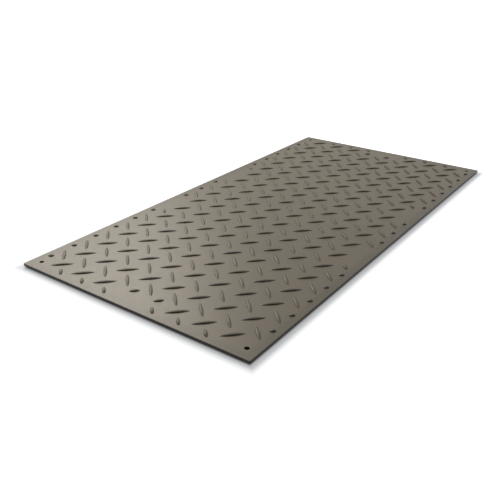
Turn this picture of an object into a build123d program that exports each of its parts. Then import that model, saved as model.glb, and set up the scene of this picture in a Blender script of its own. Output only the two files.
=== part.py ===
from build123d import *

import os
from math import floor, radians, sin

# Ground protection mat: a 4 by 8 foot sheet of polyethylene, moulded in one piece, that is laid
# over turf for vehicles and people. Both faces carry the same tread of lens-shaped lugs, so the
# mat can be laid either way up. A hole in each corner takes a connector or a ground stake.
# Lengths are in millimetres. The origin is on the floor under the middle of the mat, +X runs
# along the mat and +Z is up. The mat rests on the crests of its lower lugs.

# Body
mat_length = 2438.4
mat_width = 1219.2
body_thickness = 12.7
corner_radius = 6.0
arris_chamfer = 1.5

# Lugs: a lens in plan, pointed at both ends, with steep flanks and a flat crest
lug_length = 101.6
lug_middle = 44.0
lug_width = 14.3
crest_width = 8.7
lug_height = 6.35
lug_pitch = 132.4
lug_lean = 45.0

# Tread: where the lugs stand, inside a plain border and round the blank label areas
end_border = 29.5
side_border = 34.0
label_width = 190.0
label_depth = 98.0
side_label_offset = 300.0
least_tip_share = 0.2

# Corner holes
hole_diameter = 19.0
hole_from_end = 57.0
hole_from_side = 54.0
hole_clearing = 50.0

lower_face = lug_height
upper_face = lug_height + body_thickness
tread_length = mat_length - 2 * end_border
tread_width = mat_width - 2 * side_border
hole_spacing_x = mat_length - 2 * hole_from_end
hole_spacing_y = mat_width - 2 * hole_from_side
hole_places = GridLocations(hole_spacing_x, hole_spacing_y, 2, 2).locations

# One lug, lying along X: its four-sided section runs out to a point at each end.
with BuildPart() as lug:
    for shoulder in (-lug_middle / 2, lug_middle / 2):
        with BuildSketch(Plane.YZ.offset(shoulder)) as section:
            with BuildLine():
                Polyline(
                    (-lug_width / 2, 0),
                    (lug_width / 2, 0),
                    (crest_width / 2, lug_height),
                    (-crest_width / 2, lug_height),
                    close=True,
                )
            make_face()
    sections = sorted(lug.pending_faces, key=lambda face: face.center().X)
    loft(
        [Vertex(-lug_length / 2, 0, 0), *sections, Vertex(lug_length / 2, 0, 0)],
        ruled=True,
    )


def grid_count(half_span, shift):
    """Lugs along one direction, a pitch apart, that reach into the tread."""
    reach = half_span + lug_length / 2 * sin(radians(lug_lean))
    steps = floor(reach / lug_pitch + shift)
    return 2 * steps + 1 - round(2 * shift)


def lug_set(shift, lean):
    """One set of lugs: shift 0 has a lug on each middle line, 0.5 has none."""
    columns = grid_count(tread_length / 2, shift)
    rows = grid_count(tread_width / 2, shift)
    places = GridLocations(lug_pitch, lug_pitch, columns, rows)
    return [lug.part.moved(place * Rot(0, 0, lean)).solid() for place in places]


# The blank places of the mould: the label areas, cut in from the edges, and the border.
with BuildPart() as label_blanks:
    with BuildSketch():
        with Locations((-mat_length / 2, 0), (mat_length / 2, 0)):
            Rectangle(2 * label_depth, label_width)
        with GridLocations(2 * side_label_offset, mat_width, 2, 2):
            Rectangle(label_width, 2 * label_depth)
    extrude(amount=lug_height)

with BuildPart() as border_blank:
    with BuildSketch():
        Rectangle(mat_length + 2 * lug_length, mat_width + 2 * lug_length)
        Rectangle(tread_length, tread_width, mode=Mode.SUBTRACT)
    extrude(amount=lug_height)


def nears_edge(piece):
    """True for a lug so near an edge that the border or a label area may cut it."""
    box = piece.bounding_box()
    end_depth = max(label_depth, end_border)
    side_depth = max(label_depth, side_border)
    return (
        max(-box.min.X, box.max.X) > mat_length / 2 - end_depth
        or max(-box.min.Y, box.max.Y) > mat_width / 2 - side_depth
    )


def cut_to_tread(piece):
    """What is left of a lug: a short tip beside a label area goes, a stub at the border stays."""
    tips = (piece - label_blanks.part).solids()
    tips = [tip for tip in tips if tip.volume > least_tip_share * piece.volume]
    return [stub for tip in tips for stub in (tip - border_blank.part).solids()]


def leaves_holes_clear(piece):
    return all((piece.center() - hole.position).length > hole_clearing for hole in hole_places)


# The lugs of one face stand on the plane Z = 0. One set leans to the right and the other, half a
# pitch away both ways, leans to the left. A lug that would crowd a corner hole is left off.
tread = []
for whole_lug in lug_set(0, lug_lean) + lug_set(0.5, -lug_lean):
    tread += cut_to_tread(whole_lug) if nears_edge(whole_lug) else [whole_lug]
tread = [piece for piece in tread if leaves_holes_clear(piece)]

# The mat: the body, with the tread on its upper face and, turned over, on its lower one.
with BuildPart() as ground_mat:
    with BuildSketch(Plane.XY.offset(lower_face)):
        RectangleRounded(mat_length, mat_width, corner_radius)
    extrude(amount=body_thickness)
    rims = ground_mat.faces().filter_by(Axis.Z).edges()
    chamfer(rims, arris_chamfer)
    with BuildSketch(Plane.XY.offset(lower_face)):
        with Locations(*hole_places):
            Circle(hole_diameter / 2)
    extrude(amount=body_thickness, mode=Mode.SUBTRACT)
    upper_place = Location((0, 0, upper_face))
    lower_place = Location((0, 0, lower_face), (180, 0, 0))
    upper_tread = [piece.moved(upper_place) for piece in tread]
    lower_tread = [piece.moved(lower_place) for piece in tread]
    add(upper_tread + lower_tread, clean=False)

ground_mat.part.label = "ground_mat"

os.makedirs("parts", exist_ok=True)
export_step(ground_mat.part, "parts/ground_mat.step")
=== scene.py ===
from math import asin, cos, degrees, hypot, pi, radians, sin

import bpy
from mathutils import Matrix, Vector


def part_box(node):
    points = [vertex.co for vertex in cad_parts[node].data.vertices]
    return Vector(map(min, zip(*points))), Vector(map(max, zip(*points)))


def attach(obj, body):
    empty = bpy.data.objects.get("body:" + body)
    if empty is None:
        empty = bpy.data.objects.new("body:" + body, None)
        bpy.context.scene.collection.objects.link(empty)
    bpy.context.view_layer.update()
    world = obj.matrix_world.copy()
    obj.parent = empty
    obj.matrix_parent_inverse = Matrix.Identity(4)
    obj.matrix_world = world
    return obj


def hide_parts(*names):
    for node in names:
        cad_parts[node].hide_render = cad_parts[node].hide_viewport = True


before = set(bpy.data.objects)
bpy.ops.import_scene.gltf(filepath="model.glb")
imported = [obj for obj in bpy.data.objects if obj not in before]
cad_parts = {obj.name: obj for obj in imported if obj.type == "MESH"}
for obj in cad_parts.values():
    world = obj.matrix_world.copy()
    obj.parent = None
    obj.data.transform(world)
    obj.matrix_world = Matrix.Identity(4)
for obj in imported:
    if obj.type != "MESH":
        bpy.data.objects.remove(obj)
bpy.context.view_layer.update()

# The mat's body: a half-inch sheet of polyethylene, pressed hot in a mould together with the tread
# of both its faces. Its corners are a little round and its arrises eased. A hole for a connector
# or a ground stake is bored through each corner, and its rims are lightly countersunk.
mat_low, mat_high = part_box("ground_mat")
mat_length = mat_high.x - mat_low.x
mat_width = mat_high.y - mat_low.y
lug_height = 0.00635
body_bottom = mat_low.z + lug_height
body_top = mat_high.z - lug_height
middle_height = (body_bottom + body_top) / 2
corner_radius = 0.006
corner_steps = 6
arris_radius = 0.0015
arris_steps = 2
edge_strip = 0.003
hole_radius = 0.0095
hole_sides = 32
hole_from_end = 0.057
hole_from_side = 0.054
rim_chamfer = 0.001
drill_length = 0.05
same_place = 1e-5
hole_middles = [
    (end * (mat_length / 2 - hole_from_end), side * (mat_width / 2 - hole_from_side))
    for end in (-1, 1)
    for side in (-1, 1)
]


def hold(piece):
    """Makes a piece the active one and the only one selected."""
    bpy.ops.object.select_all(action="DESELECT")
    piece.select_set(True)
    bpy.context.view_layer.objects.active = piece


def pick(kind, test):
    """Opens the active piece in edit mode with only the edges or faces selected that pass a test."""
    bpy.ops.object.mode_set(mode="EDIT")
    bpy.ops.mesh.select_mode(type=kind)
    bpy.ops.mesh.select_all(action="DESELECT")
    bpy.ops.object.mode_set(mode="OBJECT")
    mesh = bpy.context.object.data
    for part in mesh.edges if kind == "EDGE" else mesh.polygons:
        part.select = test(part)
    bpy.ops.object.mode_set(mode="EDIT")


def ends_of(edge):
    return [bpy.context.object.data.vertices[index].co for index in edge.vertices]


def is_upright(edge):
    start, end = ends_of(edge)
    return hypot(start.x - end.x, start.y - end.y) < same_place


def is_level(edge):
    start, end = ends_of(edge)
    return abs(start.z - end.z) < same_place


def is_broad(face):
    """True for the body's upper and lower face."""
    return face.area > mat_length * mat_width / 2


def is_hole_rim(edge):
    start, end = ends_of(edge)
    reach = hole_radius + rim_chamfer
    at_hole = any(hypot(start.x - x, start.y - y) < reach for x, y in hole_middles)
    return at_hole and is_level(edge) and (start - end).length < hole_radius


def bore(piece, x, y):
    """Bores a hole through a piece with a drill, and puts the drill away."""
    bpy.ops.object.select_all(action="DESELECT")
    bpy.ops.mesh.primitive_cylinder_add(
        vertices=hole_sides, radius=hole_radius, depth=drill_length, location=(x, y, middle_height)
    )
    drill = bpy.context.object
    hold(piece)
    boolean = piece.modifiers.new("bore", "BOOLEAN")
    boolean.operation = "DIFFERENCE"
    boolean.object = drill
    boolean.solver = "EXACT"
    bpy.ops.object.modifier_apply(modifier=boolean.name)
    bpy.data.objects.remove(drill)


bpy.ops.object.select_all(action="DESELECT")
bpy.ops.mesh.primitive_cube_add(size=1.0, location=(0, 0, middle_height))
mat = bpy.context.object
mat.name = "moulded_mat"
mat.scale = (mat_length, mat_width, body_top - body_bottom)
bpy.ops.object.transform_apply(location=True, rotation=True, scale=True)
pick("EDGE", is_upright)
bpy.ops.mesh.bevel(offset=corner_radius, segments=corner_steps, affect="EDGES")
pick("EDGE", is_level)
bpy.ops.mesh.bevel(offset=arris_radius, segments=arris_steps, affect="EDGES")
# A narrow strip along its edges keeps each broad face flat in its shading.
pick("FACE", is_broad)
bpy.ops.mesh.inset(thickness=edge_strip)
bpy.ops.object.mode_set(mode="OBJECT")
for x, y in hole_middles:
    bore(mat, x, y)
pick("EDGE", is_hole_rim)
bpy.ops.mesh.bevel(offset=rim_chamfer, segments=1, affect="EDGES")
bpy.ops.object.mode_set(mode="OBJECT")

# The tread: lens-shaped lugs, moulded in one with the body. Each is a low rounded bar, steep along
# its foot, whose crest falls in an arc to a point at both ends. One set leans to the right, and
# the other, half a pitch away both ways, leans to the left.
lug_length = 0.1016
lug_width = 0.0148
lug_pitch = 0.1324
lug_lean = radians(45)
lug_sunk = 0.0006
lug_sides = 10
lug_steps = 8
# Three points of the lug's section, as shares of its half width and of its height.
foot, shoulder, crest = (1.0, 0.0), (0.94, 0.66), (0.5, 1.0)


def runs_along(edge):
    start, end = ends_of(edge)
    return abs(start.x - end.x) > same_place


def shape_ring(point):
    """Moves a point of the plain bar to its place on the lug, going by its side and station."""
    turn = degrees(asin(min(1.0, abs(point.z))))
    wide, high = (foot, shoulder, crest)[round(turn / (360 / lug_sides))]
    taper = max(0.0, cos(point.x / lug_length * pi))
    side = 1 if point.y > 0 else -1
    level = 1 if point.z > 0 else -1
    along = lug_length / 2 * sin(point.x / lug_length * pi)
    across = side * wide * lug_width / 2 * taper
    return Vector((along, across, level * high * lug_height * taper**2))


bpy.ops.object.select_all(action="DESELECT")
bpy.ops.mesh.primitive_cylinder_add(
    vertices=lug_sides, radius=1.0, depth=lug_length, location=(0, 0, 0), rotation=(0, pi / 2, 0)
)
bpy.ops.object.transform_apply(location=True, rotation=True, scale=True)
lug = bpy.context.object
pick("EDGE", runs_along)
bpy.ops.mesh.subdivide(number_cuts=lug_steps - 1)
bpy.ops.object.mode_set(mode="OBJECT")
for vertex in lug.data.vertices:
    vertex.co = shape_ring(vertex.co)
bpy.ops.object.mode_set(mode="EDIT")
bpy.ops.mesh.select_mode(type="VERT")
bpy.ops.mesh.select_all(action="SELECT")
bpy.ops.mesh.remove_doubles(threshold=same_place)
bpy.ops.mesh.bisect(
    plane_co=(0, 0, -lug_sunk), plane_no=(0, 0, 1), clear_inner=True, use_fill=True
)
bpy.ops.mesh.select_all(action="SELECT")
bpy.ops.mesh.normals_make_consistent(inside=False)
bpy.ops.object.mode_set(mode="OBJECT")

# The tread's layout in the mould: it ends at a plain border and leaves six label areas blank
# along the edges. Where one of them stops a lug, a shorter lug fills the room that is left. A
# short tip beside a label area is left out, and so is a lug that would crowd a corner hole.
end_border = 0.026
side_border = 0.030
label_width = 0.19
label_depth = 0.098
side_label_offset = 0.3
shortest_tip = 0.035
hole_clearing = 0.05
axis_steps = 50
label_areas = [(end * mat_length / 2, 0.0, 2 * label_depth, label_width) for end in (-1, 1)]
label_areas += [
    (end * side_label_offset, side * mat_width / 2, label_width, 2 * label_depth)
    for end in (-1, 1)
    for side in (-1, 1)
]


def in_tread(x, y):
    return abs(x) < mat_length / 2 - end_border and abs(y) < mat_width / 2 - side_border


def off_labels(x, y):
    return all(
        abs(x - middle_x) > length / 2 or abs(y - middle_y) > width / 2
        for middle_x, middle_y, length, width in label_areas
    )


def longest_run(spots, is_free):
    """The longest unbroken run of the spots along a lug's axis that are free."""
    runs = [[]]
    for spot in spots:
        if is_free(*spot):
            runs[-1].append(spot)
        elif runs[-1]:
            runs.append([])
    return max(runs, key=len)


def lay_lug(x, y, lean):
    """Lays a lug with its middle at x, y, or a shorter one where there is room along its axis."""
    reach_x, reach_y = lug_length / 2 * cos(lean), lug_length / 2 * sin(lean)
    steps = range(-axis_steps, axis_steps + 1)
    axis = [(x + reach_x * step / axis_steps, y + reach_y * step / axis_steps) for step in steps]
    spots = longest_run(axis, off_labels)
    if len(spots) / len(axis) * lug_length < shortest_tip:
        return []
    spots = longest_run(spots, in_tread)
    if len(spots) < 2:
        return []
    start, end = Vector(spots[0]), Vector(spots[-1])
    middle = (start + end) / 2
    if any((middle - Vector(hole)).length < hole_clearing for hole in hole_middles):
        return []
    copy = bpy.data.objects.new("lug", lug.data.copy())
    copy.location = (middle.x, middle.y, body_top)
    copy.rotation_euler.z = lean
    copy.scale.x = (end - start).length / lug_length
    bpy.context.scene.collection.objects.link(copy)
    return [copy]


def lay_lugs(shift, lean):
    """Lays one set of lugs: shift 0 has a lug on each of the mat's middle lines, 0.5 has none."""
    columns, rows = int(mat_length / 2 / lug_pitch + shift), int(mat_width / 2 / lug_pitch + shift)
    laid = []
    for column in range(-columns, columns + 1):
        for row in range(-rows, rows + 1):
            laid += lay_lug((column + shift) * lug_pitch, (row + shift) * lug_pitch, lean)
    return laid


def make_one(pieces):
    """Joins pieces into the first of them, with their places in the one mesh."""
    hold(pieces[0])
    for piece in pieces:
        piece.select_set(True)
    bpy.ops.object.transform_apply(location=True, rotation=True, scale=True)
    bpy.ops.object.join()
    return bpy.context.object


tread = make_one(lay_lugs(0.0, lug_lean) + lay_lugs(0.5, -lug_lean))
bpy.data.objects.remove(lug)

# The under face is the upper one turned over along the mat's length.
under_tread = bpy.data.objects.new("under_tread", tread.data.copy())
under_tread.rotation_euler.x = pi
under_tread.location.z = 2 * middle_height
bpy.context.scene.collection.objects.link(under_tread)
mat = make_one([mat, tread, under_tread])
bpy.ops.object.shade_smooth_by_angle(angle=radians(40))

# The finish: black polyethylene, glossy where the mould drew away from it, as on the flanks of the
# lugs and the mat's edges.
# Those steep faces are kept bare and dark, which is painted shade. The level faces are a little
# rough and hold a fine warm grey dust, which wheels and boots have partly rubbed off the crests.
bare_black = (0.024, 0.021, 0.017, 1.0)
grey_dust = (0.158, 0.136, 0.094, 1.0)
brown_dust = (0.173, 0.138, 0.090, 1.0)
grain_depth = 0.00012
wave_depth = 0.0015
# Where the dust grows and thins out: by how level the surface is, which also paints the steep faces
# dark as shade; by the distance from the mat's outline, so that the mat is darker near it; and by
# the height above the body's face.
dust_and_shade_slope = (0.8, 0.99)
darker_rim_band = (-0.055, -0.02)
rubbed_height = (0.0003, 0.003)


class Value:
    """A shader socket that Python's operators work on, each adding its Math node."""

    def __init__(self, finish, socket):
        self.finish, self.socket = finish, socket

    def maths(self, operation, *values):
        places = {f"_{number}": value for number, value in enumerate(values)}
        return self.finish.node("Math", {"operation": operation}, **places)

    def __add__(self, other):
        return self.maths("ADD", self, other)

    def __sub__(self, other):
        return self.maths("SUBTRACT", self, other)

    def __rsub__(self, other):
        return self.maths("SUBTRACT", other, self)

    def __mul__(self, other):
        return self.maths("MULTIPLY", self, other)

    __radd__ = __add__
    __rmul__ = __mul__

    def size(self):
        return self.maths("ABSOLUTE", self)

    def larger(self, other):
        return self.maths("MAXIMUM", self, other)

    def ramp(self, low, high):
        """0 below low, 1 above high, and smooth between them."""
        smooth = {"interpolation_type": "SMOOTHSTEP"}
        return self.finish.node("MapRange", smooth, Value=self, From_Min=low, From_Max=high)


class Finish:
    """The nodes of a material or of the world, none at first and added one at a time."""

    def __init__(self, owner):
        self.owner = owner
        self.owner.use_nodes = True
        self.tree = self.owner.node_tree
        self.tree.nodes.clear()

    def node(self, kind, settings=None, output=0, **sockets):
        """Adds a node. Its sockets go by their names, or by a low line and their numbers."""
        node = self.tree.nodes.new("ShaderNode" + kind)
        for name, value in (settings or {}).items():
            setattr(node, name, value)
        for name, value in sockets.items():
            place = node.inputs[int(name[1:]) if name[1:].isdigit() else name.replace("_", " ")]
            if isinstance(value, Value):
                self.tree.links.new(value.socket, place)
            else:
                place.default_value = value
        return Value(self, node.outputs[output]) if node.outputs else None

    def blend(self, share, low, high):
        """A colour between two others."""
        return self.node(
            "Mix", {"data_type": "RGBA"}, output=2, Factor=share, _6=low, _7=high
        )

    def noise(self, place, scale, detail):
        return self.node("TexNoise", Vector=place, Scale=scale, Detail=detail)

    def from_outline(self, place):
        """How far a place lies outside the mat's outline in plan, below 0 inside it."""
        x = self.node("SeparateXYZ", Vector=place, output="X").size()
        y = self.node("SeparateXYZ", Vector=place, output="Y").size()
        return (x - mat_length / 2).larger(y - mat_width / 2)


def black_polyethylene():
    finish = Finish(bpy.data.materials.new("black_polyethylene"))
    place = finish.node("TexCoord", output="Object")
    normal = finish.node("TexCoord", output="Normal")
    height = (finish.node("SeparateXYZ", Vector=place, output="Z") - middle_height).size()

    # Level faces take the dust, and steep faces stay bare black as painted shade.
    flat = finish.node("SeparateXYZ", Vector=normal, output="Z").size().ramp(*dust_and_shade_slope)
    # The mat is made darker within a few centimetres of its outline.
    rim = finish.from_outline(place).ramp(*darker_rim_band)
    worn = (height - (body_top - middle_height)).ramp(*rubbed_height)
    clouds = finish.noise(place, scale=3.0, detail=3.0)
    mottle = finish.noise(place, scale=42.0, detail=4.0)
    cover = 0.74 + clouds * 0.38 + mottle * 0.14
    # Partly real dust and partly painted shade: the steep faces are kept dark as if in shade.
    dust_and_painted_shade = flat * cover * (1.0 - rim * 0.25) * (1.0 - worn * 0.45)
    colour = finish.blend(dust_and_painted_shade, bare_black, finish.blend(clouds, grey_dust, brown_dust))
    roughness = 0.26 + flat * 0.12 + worn * 0.08 + mottle * 0.08

    grain = finish.noise(place, scale=420.0, detail=2.0)
    waves = finish.noise(place, scale=4.5, detail=1.0)
    bump = finish.node("Bump", Height=grain, Distance=grain_depth, Strength=1.0)
    bump = finish.node("Bump", Height=waves, Distance=wave_depth, Strength=1.0, Normal=bump)
    plastic = finish.node(
        "BsdfPrincipled", Base_Color=colour, Roughness=roughness, Normal=bump
    )
    finish.node("OutputMaterial", Surface=plastic)
    return finish.owner


mat.data.materials.clear()
mat.data.materials.append(black_polyethylene())
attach(mat, "root")
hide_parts("ground_mat")

# The studio floor: a wide white sheet that the mat lies on, resting on its lower lugs. A light of
# its own lifts it to plain white for the camera. Beside the mat that light is weak, and deep in the
# gap under the body there is none, so a painted shadow beside and under the mat adds to the real
# soft shadow. The mat's gloss mirrors it dimmed.
sheet_size = 60.0
sheet_colour = (0.78, 0.81, 0.86, 1.0)
weak_glow, weak_from, weak_to = 0.3, -0.01, 0.005
open_glow, open_from, open_to = 0.8, 0.0, 0.09
mirrored_glow = 0.4
bpy.ops.object.select_all(action="DESELECT")
bpy.ops.mesh.primitive_plane_add(size=sheet_size, location=(0, 0, 0))
floor = bpy.context.object
floor.name = "studio_floor"


def white_sheet():
    finish = Finish(bpy.data.materials.new("white_sheet"))
    away = finish.from_outline(finish.node("TexCoord", output="Object"))
    # The glow fades towards the mat's outline, painting a shadow beside and under it.
    glow = away.ramp(weak_from, weak_to) * weak_glow + away.ramp(open_from, open_to) * open_glow
    mirrored = finish.node("LightPath", output="Is Glossy Ray") * mirrored_glow
    seen = finish.node("LightPath", output="Is Camera Ray").larger(mirrored)
    paper = finish.node("BsdfDiffuse", Color=sheet_colour)
    light = finish.node("Emission", Strength=glow * seen)
    sheet = finish.node("AddShader", _0=paper, _1=light)
    finish.node("OutputMaterial", Surface=sheet)
    return finish.owner


floor.data.materials.append(white_sheet())

# The light: one large warm soft box high behind the mat, which lays a sheen along its left half,
# and an even, dim light from all round. Beyond the floor the camera sees plain white, and the
# mat's gloss mirrors it a little dimmed.
box_place = Vector((1.6, 3.9, 3.5))
box_data = bpy.data.lights.new("soft_box", "AREA")
box_data.shape = "RECTANGLE"
box_data.size, box_data.size_y = 3.0, 2.0
box_data.energy = 165.0
box_data.color = (1.0, 0.94, 0.84)
soft_box = bpy.data.objects.new("soft_box", box_data)
soft_box.location = box_place
soft_box.rotation_euler = box_place.to_track_quat("Z", "Y").to_euler()
bpy.context.scene.collection.objects.link(soft_box)

dim_light = 0.28
mirrored_room = 0.8
room = Finish(bpy.data.worlds.new("studio_light"))
mirrored = room.node("LightPath", output="Is Glossy Ray") * mirrored_room
seen = room.node("LightPath", output="Is Camera Ray").larger(mirrored)
backdrop = room.node(
    "Background", Color=(1.0, 1.0, 1.0, 1.0), Strength=dim_light + seen * (1.0 - dim_light)
)
room.node("OutputWorld", Surface=backdrop)
bpy.context.scene.world = room.owner

# The camera: where the photograph was taken from, beyond the mat's near left corner and 1.3 m
# above it, looking down over the mat towards its far right corner. The lens is for a square
# picture on a 36 mm sensor.
camera_data = bpy.data.cameras.new("photo_camera")
camera_data.sensor_width = 36.0
camera_data.lens = 45.83
camera_data.clip_end = 100.0
camera = bpy.data.objects.new("photo_camera", camera_data)
camera.location = (-2.665, -1.6247, 1.2954 + body_top)
camera.rotation_euler = (radians(63.685), radians(-0.431), radians(-54.601))
bpy.context.scene.collection.objects.link(camera)
bpy.context.scene.camera = camera
bpy.context.scene.view_settings.view_transform = "Standard"
